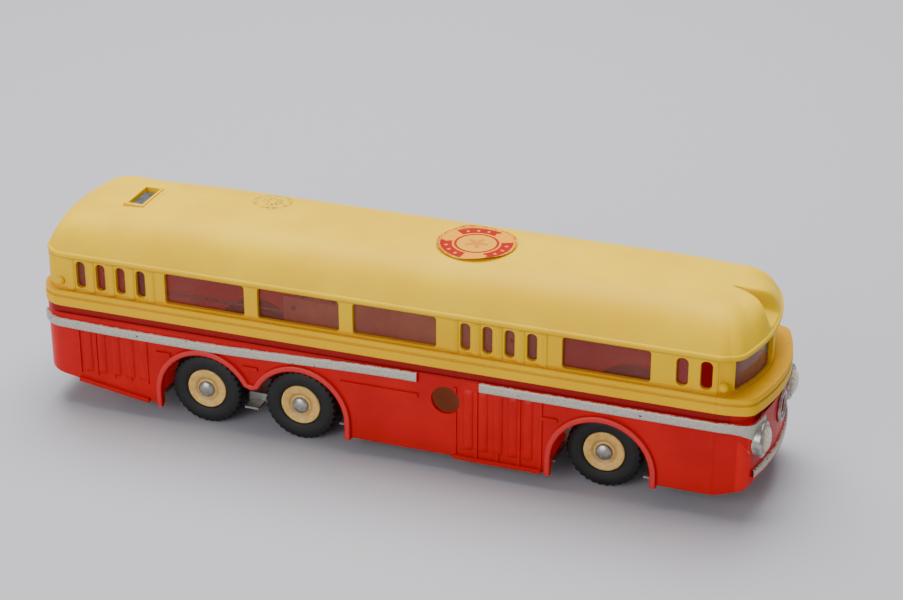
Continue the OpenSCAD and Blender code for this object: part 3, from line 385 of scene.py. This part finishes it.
def sticker_paint(p, uv):
    """Printed roundel: red arcs with dots on yellow, a ring, a pale middle with a faint star, a rim darker
    brown in patches, paler worn spots.
    """
    u, v = uv.parts()[:2]
    wear = p.noise(0.9, 4.0, 0.6)
    turn = u * TURN
    arcs = (turn * 3 + 0.9).cosine().step(-0.5, -0.4) * v.inside(0.62, 0.9, 0.015)
    dots = (turn * 18).sine().step(0.6, 0.8) * v.inside(0.72, 0.8, 0.01)
    ring, middle = v.inside(0.5, 0.56, 0.01), 1 - v.step(0.49, 0.5)
    star = (0.22 + 0.1 * (turn * 5).cosine() - v).step(0.0, 0.02)
    # the rim turns darker brown in patches
    rim = v.step(0.92, 0.97) * wear.step(0.4, 0.6)
    base = arcs.mix(lin(232, 152, 0), lin(164, 5, 0))
    base = dots.mix(base, lin(236, 140, 10))
    base = ring.mix(base, lin(164, 30, 0))
    base = middle.mix(base, lin(226, 156, 34))
    base = (star * 0.4).mix(base, lin(150, 60, 8))
    base = rim.mix(base, lin(150, 84, 10))
    base = (wear.step(0.66, 0.75) * 0.35).mix(base, lin(240, 176, 50))
    return {"Base Color": base, "Roughness": 0.35 + 0.25 * wear}


def floor_paint(p, uv):
    """Plain grey floor."""
    return {"Base Color": lin(174, 174, 181)}


YELLOW = material("yellow plastic", yellow_paint, Subsurface_Weight=0.12, Subsurface_Scale=0.0015,
                  Subsurface_Radius=(1.0, 0.6, 0.2), Specular_IOR_Level=0.08)
# the red's emission is a painted glow on the inner walls
RED = material("red plastic", red_paint, Specular_IOR_Level=0.2, Emission_Strength=0.6)
LIP = material("arch lip red", lip_paint, Coat_Weight=0.15)
SILVER = material("silver paint", silver_paint)
RUBBER = material("tyre rubber", rubber_paint)
CREAM = material("cream hub", hub_paint, Coat_Weight=0.1)
LENS = material("lamp lens", lens_paint, Roughness=0.12, Coat_Weight=0.6, Coat_Roughness=0.05)
# painted shade: the side glazing is tinted the dark red-brown of the shaded red inside
CLEAR = material("clear sheet", sheet_paint(0.34, 0.16, (136, 66, 56)), Roughness=0.04)
SCREEN = material("windscreen sheet", sheet_paint(0.42, 0.16, (126, 116, 100)), Roughness=0.04)
TIN = material("tinplate", grain_paint((118, 118, 114), (158, 158, 152), 0.34, 0.25), Metallic=0.85)
CAP = material("cap tin", grain_paint((132, 130, 124), (182, 180, 172), 0.26, 0.6), Metallic=0.8)
STEEL = material("steel", grain_paint((96, 97, 99), (150, 151, 152), 0.3, 0.4), Metallic=0.9)
BRASS = material("brass", grain_paint((134, 104, 48), (186, 150, 76), 0.3, 0.5), Metallic=0.9)
# painted shade: the lever's tab is dark grey, as the tin sits in shade in its slot
TAB = material("shaded tin", grain_paint((56, 58, 62), (92, 94, 98), 0.42, 0.3), Metallic=0.6)
# painted shade: the well ends are near black red, for the dark inside of the wheel wells
WELL_SHADE = material("wheel well shade", grain_paint((44, 16, 12), (64, 24, 18), 0.7, 0.25), Metallic=0.0)
# the plates are browned; their emission is a painted glow that lights them in the shaded key hole
BROWN = material("browned plate", grain_paint((190, 126, 76), (214, 150, 98), 0.5, 0.2), Metallic=0.1,
                 Emission_Color=lin(112, 74, 52), Emission_Strength=0.4)
PAPER = material("roof sticker", sticker_paint, Specular_IOR_Level=0.1)


def surface(name, p, mat, body="body", loop_u=False, uv=None, turned=False, wall=0.0):
    """Smooth mesh through the grid p[i, j]: a quad between each four neighbours, last row joined to the first
    if looped, faces turned over if asked, and a wall thickness behind the faces if it has one."""
    nu, nv = p.shape[:2]
    index = np.arange(nu * nv).reshape(nu, nv)
    a, b = (index, np.roll(index, -1, 0)) if loop_u else (index[:-1], index[1:])
    quads = np.stack([a[:, :-1], b[:, :-1], b[:, 1:], a[:, 1:]], -1).reshape(-1, 4)
    quads = quads[:, ::-1] if turned else quads
    mesh = bpy.data.meshes.new(name)
    mesh.from_pydata((p.reshape(-1, 3) * MM).tolist(), [], quads.tolist())
    mesh.polygons.foreach_set("use_smooth", np.ones(len(quads), bool))
    if uv is None:
        uv = np.stack(np.meshgrid(np.linspace(0, 1, nu), np.linspace(0, 1, nv), indexing="ij"), -1)
    layer = mesh.uv_layers.new(name="UVMap")
    layer.data.foreach_set("uv", uv.reshape(-1, 2)[quads.ravel()].ravel())
    mesh.materials.append(mat)
    mesh.update()
    obj = bpy.data.objects.new(name, mesh)
    bpy.context.scene.collection.objects.link(obj)
    obj.modifiers.new("join", "WELD").merge_threshold = 1e-6
    if wall:
        obj.modifiers.new("wall", "SOLIDIFY").thickness = wall * MM
    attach(obj, body)
    return obj


def half_plan(s, line):
    """Half of a plan line on the +Y side, set in by s, nose to rear: bow, corner, side, rear arc and bow."""
    back, bow, tail, rear_bow, r = line
    y = np.linspace(0, HALF_W - CORNER_IN - CORNER_R - s, 40)
    front = np.stack([FRONT_X - back - s - bow * (y / (HALF_W - CORNER_IN)) ** 2, y], -1)
    corner = np.array([FRONT_X - back - s - bow, HALF_W - CORNER_IN - s])
    side = corner + [-CORNER_R, CORNER_IN * 0.35]
    taper = np.array([min(FRONT_X - TAPER_L, side[0] - CORNER_R), HALF_W - s])
    cx, cy = REAR_X + tail + rear_bow + r, HALF_W - r
    x = np.linspace(taper[0], cx, 160)[1:-1]
    a = np.linspace(math.pi / 2, math.pi, 30)
    i = np.linspace(1, 0, 24)[1:]
    return np.concatenate([
        front, bend(front[-1], corner, side, 20)[1:],
        bend(side, [(side[0] + taper[0]) / 2, HALF_W - s], taper, 14)[1:],
        np.stack([x, np.full(len(x), HALF_W - s)], -1),
        np.stack([cx + (r - s) * np.cos(a), cy + (r - s) * np.sin(a)], -1),
        np.stack([REAR_X + tail + s + rear_bow * i ** 2, cy * i], -1)])


def plan(s, line):
    """The whole closed plan line: the half and its mirror image."""
    h = half_plan(s, line)
    return np.concatenate([h, h[-2:0:-1] * [1, -1]])


def outward(path):
    """Unit normals of a closed plan path that runs anticlockwise: the tangent turned a quarter right."""
    t = np.gradient(np.concatenate([path[-1:], path, path[:1]]), axis=0)[1:-1]
    t /= np.linalg.norm(t, axis=1, keepdims=True)
    return np.stack([t[:, 1], -t[:, 0]], -1)


def moulding(name, path, profile, mat):
    """Profile of (offset outwards, z) drawn along a closed plan path."""
    off, z = profile.T
    xy = path[:, None] + outward(path)[:, None] * off[None, :, None]
    z = np.broadcast_to(z[None, :, None], xy.shape[:2] + (1,))
    return surface(name, np.concatenate([xy, z], -1), mat, loop_u=True)


def pillow(v, power=8):
    """Full, round-shouldered cross-section: (1 - |2v - 1|^power)^(1/3)."""
    return np.cbrt(1 - np.abs(2 * v - 1) ** power)


def roof_top(x):
    """Height of the roof's ridge: level, falling by a cube to the nose and by a square to the rear."""
    nose = np.clip((x - FRONT_X + ROOF_LINE[0] + NOSE_FALL[0]) / NOSE_FALL[0], 0, 1)
    rear = np.clip((REAR_X + REAR_FALL[0] - x) / REAR_FALL[0], 0, 1)
    return ROOF_Z - NOSE_FALL[1] * nose ** 3 - REAR_FALL[1] * rear ** 2


def roof_power(outline):
    """Power of the roof's fall to points of its outline: higher at tail and visor, most at the brow."""
    x, y = outline[..., 0], np.abs(outline[..., 1])
    visor = smooth((x - SPINE_FRONT) / VISOR_BLEND)
    brow = 1 - smooth((y - BROW_HALF_W) / BROW_BLEND)
    tail = smooth((SPINE_REAR - x) / TAIL_BLEND)
    return ROOF_POWER + VISOR_POWER * visor + TAIL_POWER * tail + BROW_POWER * brow * visor


def roof_point(outline, k):
    """Roof point a share k of the way from the spine to the outline: the height falls as a power of k, is cut
    down in the front notch and drops through the hole over the lever's pad."""
    spine = np.stack([np.clip(outline[..., 0], SPINE_REAR, SPINE_FRONT), 0 * outline[..., 0]], -1)
    q = spine + k[..., None] * (outline - spine)
    x, y = q[..., 0], np.abs(q[..., 1])
    z = GUTTER_TOP + (roof_top(x) - GUTTER_TOP) * (1 - k ** roof_power(outline))
    half = NOTCH_TIP + NOTCH_GAIN * np.clip((x - NOTCH_X) / NOTCH_L, 1e-6, 1) ** NOTCH_POWER
    fall = NOTCH_FLOOR_FALL * np.clip((x - NOTCH_FLOOR_X) / NOTCH_FLOOR_L, 0, 1)
    floor = np.minimum(z, NOTCH_FLOOR_Z - fall)
    wall = smooth((y / half - 0.5) / 0.5)
    z = np.where(x > NOTCH_X, floor + (z - floor) * wall, z)
    hole = smooth((PAD_HALF_L - np.abs(x - PAD_X)) / PAD_SOFT) * smooth((PAD_HALF_W - y) / PAD_SOFT)
    return np.concatenate([q, (z - PAD_SINK * hole)[..., None]], -1)


def roof_skin():
    """Roof from its outline in to the spine, with its rings closer together at the rim."""
    outline = plan(-SKIN, ROOF_LINE)
    share = 1 - np.linspace(0, 1, 60) ** 1.5
    grid = (len(outline), len(share))
    p = roof_point(np.broadcast_to(outline[:, None], grid + (2,)), np.broadcast_to(share, grid))
    return surface("roof_skin", p, YELLOW, loop_u=True)


def gutter_bead():
    """Half-round bead along the foot of the roof."""
    a = np.linspace(-math.pi / 2, math.pi / 2, 13)
    section = np.stack([0.1 + 0.95 * np.cos(a), (GUTTER_TOP + GUTTER_Z) / 2 + 1.1 * np.sin(a)], -1)
    return moulding("gutter_bead", plan(0, ROOF_LINE), section, YELLOW)


def belt():
    """Belt with a groove of bell section, set back a little above it, and edges rounded by a cube."""
    z = np.linspace(JOINT_Z + 0.02, BELT_TOP + 0.05, 42)
    groove = 0.42 * np.exp(-((z - BELT_GROOVE_Z) / 0.42) ** 2)
    top_edge = 0.9 * np.clip((z - BELT_TOP + 0.8) / 0.85, 0, 1) ** 3
    low_edge = 0.45 * np.clip((JOINT_Z + 0.6 - z) / 0.6, 0, 1) ** 3
    out = 0.56 - groove - 0.14 * (z > BELT_GROOVE_Z) - top_edge - low_edge
    return moulding("belt", plan(0, BELT_LINE), np.stack([out, z], -1), YELLOW)


roof_skin()
gutter_bead()
belt()


def side_band(name, ends, low, high, side, nv=15):
    """Silver band on the red wall between two x, from height low(x, run) to high(x, run), where run is the
    length along it; a pillow section swells from just inside the wall to a plan line proud of it."""
    base, full = half_plan(STRIP_IN, RED_LINE), half_plan(-STRIP_PROUD, RED_LINE)
    pick = (full[:, 0] > ends[0]) & (full[:, 0] < ends[1])
    base, full = base[pick], full[pick]
    v = np.linspace(0, 1, nv)
    xy = base[:, None] + (full - base)[:, None] * pillow(v)[None, :, None]
    run = np.concatenate([[0], np.cumsum(np.linalg.norm(np.diff(full[::-1], axis=0), axis=1))])[::-1]
    low, high = low(full[:, 0], run), high(full[:, 0], run)
    z = low[:, None] + (high - low)[:, None] * v
    return surface(name, np.concatenate([xy, z[..., None]], -1) * [1, side, 1], SILVER, turned=side < 0)


def long_top(x):
    """Upper edge of the long strip's relief: it rises towards the front and lifts by a square at the rear."""
    rise = LONG_RISE * smooth((x - LONG_RISE_X) / LONG_RISE_L)
    lift = LONG_LIFT * (np.maximum(0, LONG_LIFT_X - x) / LONG_LIFT_L) ** 2
    return JOINT_Z - LONG_DROP + rise + lift


def long_low(x, run):
    """Lower edge of the long strip, the same distance below its top all along."""
    return long_top(x) - LONG_W


def long_high(x, run):
    """Upper edge of the long strip's paint, just over the relief."""
    return long_top(x) + LONG_OVER


def flare(run):
    """Share of the way along the front strip's widening end."""
    return np.clip((run - FLARE_RUN) / FLARE_L, 0, 1)


def short_low(x, run):
    """Lower edge of the front strip, falling by a cube round the lamp."""
    return SHORT_LOW - FLARE_DOWN * flare(run) ** 3


def short_high(x, run):
    """Upper edge of the front strip, rising a little to the lamp."""
    return SHORT_HIGH + FLARE_UP * flare(run)


def bumper_low(x, run):
    """Level lower edge of the bumper."""
    return np.full_like(x, BUMPER_LOW)


def bumper_high(x, run):
    """Level upper edge of the bumper."""
    return np.full_like(x, BUMPER_HIGH)


for side, word in SIDES:
    side_band(f"long_strip_{word}", LONG_ENDS, long_low, long_high, side)
    side_band(f"short_strip_{word}", SHORT_ENDS, short_low, short_high, side, 21)
    side_band(f"bumper_{word}", BUMPER_ENDS, bumper_low, bumper_high, side)


def arch_path(centres, r, tip, feet):
    """Side-view line over wheel arches: up a leg, round each centre at r, down to height tip between two."""
    between = len(centres) - 1
    starts, stops = [math.pi] + [math.pi - ARCH_END] * between, [ARCH_END] * between + [0]
    out = []
    for (x, z), start, stop in zip(centres, starts, stops):
        a = np.linspace(start, stop, 60)
        out.append(np.stack([x + r * np.cos(a), z + r * np.sin(a)], -1))
    if between:
        out.insert(1, np.array([[(centres[0][0] + centres[1][0]) / 2, tip]]))
    first, last = centres[0][0] - r, centres[-1][0] + r
    t = np.linspace(0, 1, 8)[:-1, None]
    up = np.array([first, feet[0]]) * (1 - t) + np.array([first, centres[0][1]]) * t
    down = np.array([last, feet[1]]) * (1 - t) + np.array([last, centres[-1][1]]) * t
    return np.concatenate([up] + out + [down[::-1]])


def arch_lip(name, centres, r, feet, side):
    """Raised lip with a pillow section, between the arch line at r and a line further out."""
    inner = arch_path(centres, r - 0.05, ARCH_TIP - 0.05, feet)
    outer = arch_path(centres, r + LIP_W, ARCH_TIP + LIP_W, feet)
    v = np.linspace(0, 1, 13)
    xz = inner[:, None] * (1 - v)[None, :, None] + outer[:, None] * v[None, :, None]
    y = np.broadcast_to(HALF_W - 0.1 + LIP_PROUD * pillow(v, 6), xz.shape[:2])
    return surface(name, np.stack([xz[..., 0], side * y, xz[..., 1]], -1), LIP, turned=side > 0)


def well_line(centres, r):
    """Arch line that a wheel well follows, a little outside the arch."""
    return arch_path(centres, r + WELL_OUT, ARCH_TIP + WELL_OUT, (WELL_Z, WELL_Z))


def arch_well(name, centres, r, depth, side):
    """Thin wall that follows an arch inwards from the side wall, over the wheels."""
    xz, y = well_line(centres, r), np.linspace(HALF_W - 1.2, HALF_W - depth, 9)
    p = np.stack(np.broadcast_arrays(xz[:, None, 0], side * y[None, :], xz[:, None, 1]), -1)
    return surface(name, p, RED, turned=side < 0, wall=WELL_WALL)


def well_end(name, centres, r, depth, side):
    """Flat wall that closes a wheel well, near black with painted shade: from the arch line straight down to
    just above the axles.
    """
    line, drop = well_line(centres, r), np.linspace(0, 1, 6)
    line = line[line[:, 1] > WELL_END_Z]
    z = line[:, None, 1] * (1 - drop) + WELL_END_Z * drop
    p = np.stack(np.broadcast_arrays(line[:, None, 0], side * (HALF_W - depth), z), -1)
    return surface(name, p, WELL_SHADE, turned=side < 0, wall=WELL_WALL)


for side, word in SIDES:
    for end, (centres, r, feet, depth) in ARCHES.items():
        arch_well(f"{end}_arch_well_{word}", centres, r, depth, side)
        well_end(f"{end}_well_end_{word}", centres, r, depth, side)
    for end, (centres, r, feet, depth) in ARCHES.items():
        arch_lip(f"{end}_arch_lip_{word}", centres, r, feet, side)


def rib(name, x, low, high, size, wall, mat):
    """Upright half-round bar on the flat right side wall, with ends that close by a high power."""
    half, proud = size
    u, z = np.linspace(-1, 1, 13), np.linspace(low, high, 25)
    ends = np.sqrt(1 - np.abs(2 * (z - low) / (high - low) - 1) ** 24)
    y = wall - 0.05 + proud * np.sqrt(1 - u[:, None] ** 2) * ends
    return surface(name, np.stack(np.broadcast_arrays(x + half * u[:, None], -y, z), -1), mat)


for i in range(DOOR_RIBS):
    for door, first in SLOT_FIRST.items():
        rib(f"{door}_slot_rib_{i}", first + SLOT_PITCH * i, BELT_TOP - 0.1, GUTTER_Z + 0.3, SLOT_RIB,
            HALF_W - SLOT_SINK, YELLOW)
    for door, (first, pitch, low, high) in PANELS.items():
        rib(f"{door}_door_rib_{i}", first + pitch * i, low, high, PANEL_RIB, HALF_W, RED)


def lathe(name, profile, centre, axis, mat, body="body", n=72, warp=None):
    """Profile of (radius, height) turned about an axis through centre; warp, if given, moves the radii."""
    angle = np.linspace(0, TURN, n + 1)
    r, h = np.array(profile, float).T
    rr = np.broadcast_to(r, (n + 1, len(r)))
    if warp is not None:
        rr = warp(angle[:, None], rr, h[None, :])
    e = np.array(axis, float)
    u = np.array([1.0, 0, 0]) if abs(e[0]) < 0.5 else np.array([0, 1.0, 0])
    w = np.cross(e, u)
    spoke = np.cos(angle)[:, None, None] * u + np.sin(angle)[:, None, None] * w
    p = np.array(centre) + rr[..., None] * spoke + h[None, :, None] * e
    uv = np.stack(np.broadcast_arrays((angle / TURN)[:, None], r / r.max()), -1)
    return surface(name, p, mat, body, uv=uv)


def tread(angle, r, h):
    """Cross lugs on the tyre's shoulders: the rim is cut in by a flat-topped wave, most at the edges."""
    lug = smooth((np.cos(angle * LUGS) + 0.35) / 0.5)
    edge = 0.25 + 0.75 * smooth((np.abs(h + TYRE_W / 2) - 1.4) / 0.8)
    return r - LUG_DEPTH * (1 - lug) * smooth((r - TYRE_R + 1.0) / 0.6) * edge


def tyre_profile():
    """Half section of a tyre from the bead over a bulged wall and shoulder to mid tread, and its mirror."""
    bead, shoulder, tread_edge = [HUB_R + 1.6, 0.0], [TYRE_R - 1.5, -0.15], [TYRE_R, -1.5]
    half = np.concatenate([
        bend([HUB_R + 0.02, -1.4], [HUB_R + 0.1, -0.1], bead, 8),
        bend(bead, [HUB_R + 3.4, 0.45], shoulder, 10)[1:],
        bend(shoulder, [TYRE_R - 0.2, -0.3], tread_edge, 9)[1:],
        np.stack([np.full(9, TYRE_R), np.linspace(tread_edge[1], -TYRE_W / 2, 10)[1:]], -1)])
    return np.concatenate([half * [1, -1] + [0, -TYRE_W], half[-2::-1]])


def hub_profile():
    """Section of a hub from its back edge over the rim and the ring groove to the bore."""
    return [(HUB_R, -7.6), (HUB_R, -1.0), (7.38, -0.7), (7.1, -0.5), (6.6, -0.55), (6.2, -0.72), (4.1, -0.7),
            (3.9, -0.95), (3.5, -0.95), (3.3, -0.75), (1.0, -0.75)]


def dome(r, rim, foot, rise, n):
    """Section of a dome: a rim edge at height rim, then a quarter of an ellipse from foot up by rise."""
    a = np.linspace(0, math.pi / 2, n)
    return np.concatenate([[[r, rim]], np.stack([r * np.cos(a), foot + rise * np.sin(a)], -1)])


for axle, (x, face) in AXLES.items():
    for side, word in SIDES:
        place, body = ((x, side * face, AXLE_Z), (0, side, 0)), f"{axle}_wheels"
        tyre = lathe(f"{axle}_tyre_{word}.look", tyre_profile(), *place, RUBBER, body, 272, tread)
        hub = lathe(f"{axle}_hub_{word}.look", hub_profile(), *place, CREAM, body)
        cap = lathe(f"{axle}_cap_{word}.look", dome(CAP_R, -0.8, -0.5, 1.4, 14), *place, CAP, body, 40)
        for kind, obj in (("tyre", tyre), ("hub", hub), ("cap", cap)):
            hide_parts(f"{axle}_{kind}_{word}")


def bezel_profile():
    """Bezel round a lamp: a tube from the wall with a rolled front edge."""
    a = np.linspace(-0.3, math.pi, 18)
    roll = np.stack([BEZEL_R + BEZEL_ROLL * np.cos(a), -0.1 + BEZEL_ROLL * np.sin(a)], -1)
    return np.concatenate([[[BEZEL_R + BEZEL_ROLL, -4.0]], roll])


def ring_profile():
    """Half-round section of the plain ring on the nose."""
    a = np.linspace(0, math.pi, 16)
    return np.stack([RING_R + 1.0 * np.cos(a), 0.9 * np.sin(a) + 0.15], -1)


lamp_x = FRONT_X - RED_LINE[0] - RED_LINE[1] * (LAMP_Y / (HALF_W - CORNER_IN)) ** 2 + LAMP_OUT
for side, word in SIDES:
    place = (lamp_x, side * LAMP_Y, LAMP_Z)
    lens = lathe(f"lamp_lens_{word}", dome(LAMP_R, 0.0, 0.8, 1.8, 16), place, FORWARD, LENS)
    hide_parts(f"headlamp_{word}")
    lathe(f"bezel_{word}", bezel_profile(), place, FORWARD, CAP)
lathe("front_ring", ring_profile(), (FRONT_X - RED_LINE[0], 0, RING_Z), FORWARD, CAP)


def roof_sticker():
    """Disc that follows the roof in polar rings; its rim lifts by a wave of two turns."""
    r, turn = np.linspace(0, 1, 40)[:, None], np.linspace(0, TURN, 121)
    x, y = STICKER_X + STICKER_R * r * np.cos(turn), STICKER_Y + STICKER_R * r * np.sin(turn)
    lift = STICKER_LIFT + smooth((r - 0.86) / 0.14) * (0.3 + 0.7 * np.sin(2 * turn + 0.6) ** 2)
    fall = (np.abs(y) / (HALF_W + SKIN)) ** ROOF_POWER
    z = GUTTER_TOP + (roof_top(x) - GUTTER_TOP) * (1 - fall) + lift
    uv = np.stack(np.broadcast_arrays(turn / TURN, r), -1)
    return surface("roof_sticker", np.stack([x, y, z], -1), PAPER, uv=uv)


roof_sticker()

# Finish of each solid; one that isn't named is steel
FINISH = {"upper_body": YELLOW, "lower_body": RED, "base_plate": TIN, "stop_lever": TAB, "windscreen": SCREEN}
FINISH.update(dict.fromkeys(("glazing_right", "glazing_left", "rear_window"), CLEAR))
FINISH.update(dict.fromkeys(("motor_plate_right", "motor_plate_left"), BROWN))
BRASS_PIECES = ("motor_pillars", "great_wheel", "second_wheel", "third_wheel", "ratchet_click")
FINISH.update(dict.fromkeys(BRASS_PIECES, BRASS))
for name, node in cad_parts.items():
    node.data.materials.clear()
    node.data.materials.append(FINISH.get(name, STEEL))
    node.data.polygons.foreach_set("use_smooth", np.ones(len(node.data.polygons), bool))
    node.modifiers.new("join", "WELD").merge_threshold = 2e-6
    node.modifiers.new("sharp edges", "EDGE_SPLIT").split_angle = math.radians(22)


def sheet_light(name, place, target, size, power, colour):
    """Square soft light at place, facing target, in metres and watts."""
    data = bpy.data.lights.new(name, "AREA")
    data.shape, data.size, data.energy, data.color = "SQUARE", size, power, colour
    obj = bpy.data.objects.new(name, data)
    obj.location = place
    obj.rotation_euler = (Vector(target) - Vector(place)).to_track_quat("-Z", "Y").to_euler()
    bpy.context.scene.collection.objects.link(obj)


def studio():
    """Soft light from above and behind, a weaker one on the near side, and a pale surround."""
    sheet_light("top sheet", place=(-0.15, 0.35, 1.05), target=(0, 0, 0), size=1.0, power=27.0,
                colour=(1.0, 0.985, 0.96))
    sheet_light("side sheet", place=(-0.4, -1.3, 0.6), target=(0, 0, 0.04), size=0.8, power=12.0,
                colour=(1.0, 0.99, 0.98))
    world = bpy.data.worlds.new("studio")
    world.use_nodes = True
    background = world.node_tree.nodes["Background"]
    background.inputs["Color"].default_value = (0.80, 0.81, 0.85, 1.0)
    background.inputs["Strength"].default_value = 0.5
    bpy.context.scene.world = world


def floor_sheet(half):
    """Square floor at the wheels' feet, with sides of twice half, in metres."""
    mesh = bpy.data.meshes.new("floor")
    corners = [(-half, -half, 0), (half, -half, 0), (half, half, 0), (-half, half, 0)]
    mesh.from_pydata(corners, [], [(0, 1, 2, 3)])
    mesh.materials.append(material("floor", floor_paint, Roughness=0.6))
    floor = bpy.data.objects.new("floor", mesh)
    bpy.context.scene.collection.objects.link(floor)
    floor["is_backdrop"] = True


def photo_camera(azimuth, elevation, place, focal_px, photo_w_px):
    """Camera at place, in metres, that looks from the photo's side and height with its focal length."""
    azimuth, elevation = math.radians(azimuth), math.radians(elevation)
    level = math.cos(elevation)
    back = Vector((math.sin(azimuth) * level, -math.cos(azimuth) * level, math.sin(elevation)))
    right = Vector((math.cos(azimuth), math.sin(azimuth), 0))
    data = bpy.data.cameras.new("camera")
    data.sensor_width = 36.0
    data.lens = focal_px / photo_w_px * data.sensor_width
    data.clip_start, data.clip_end = 0.05, 20.0
    camera = bpy.data.objects.new("camera", data)
    axes = Matrix((right, back.cross(right), back)).transposed().to_4x4()
    camera.matrix_world = Matrix.Translation(place) @ axes
    bpy.context.scene.collection.objects.link(camera)
    bpy.context.scene.camera = camera


studio()
floor_sheet(4.0)
photo_camera(azimuth=19.62, elevation=26.03, place=(0.2583, -0.6846, 0.4057), focal_px=2300, photo_w_px=903)

low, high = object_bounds()
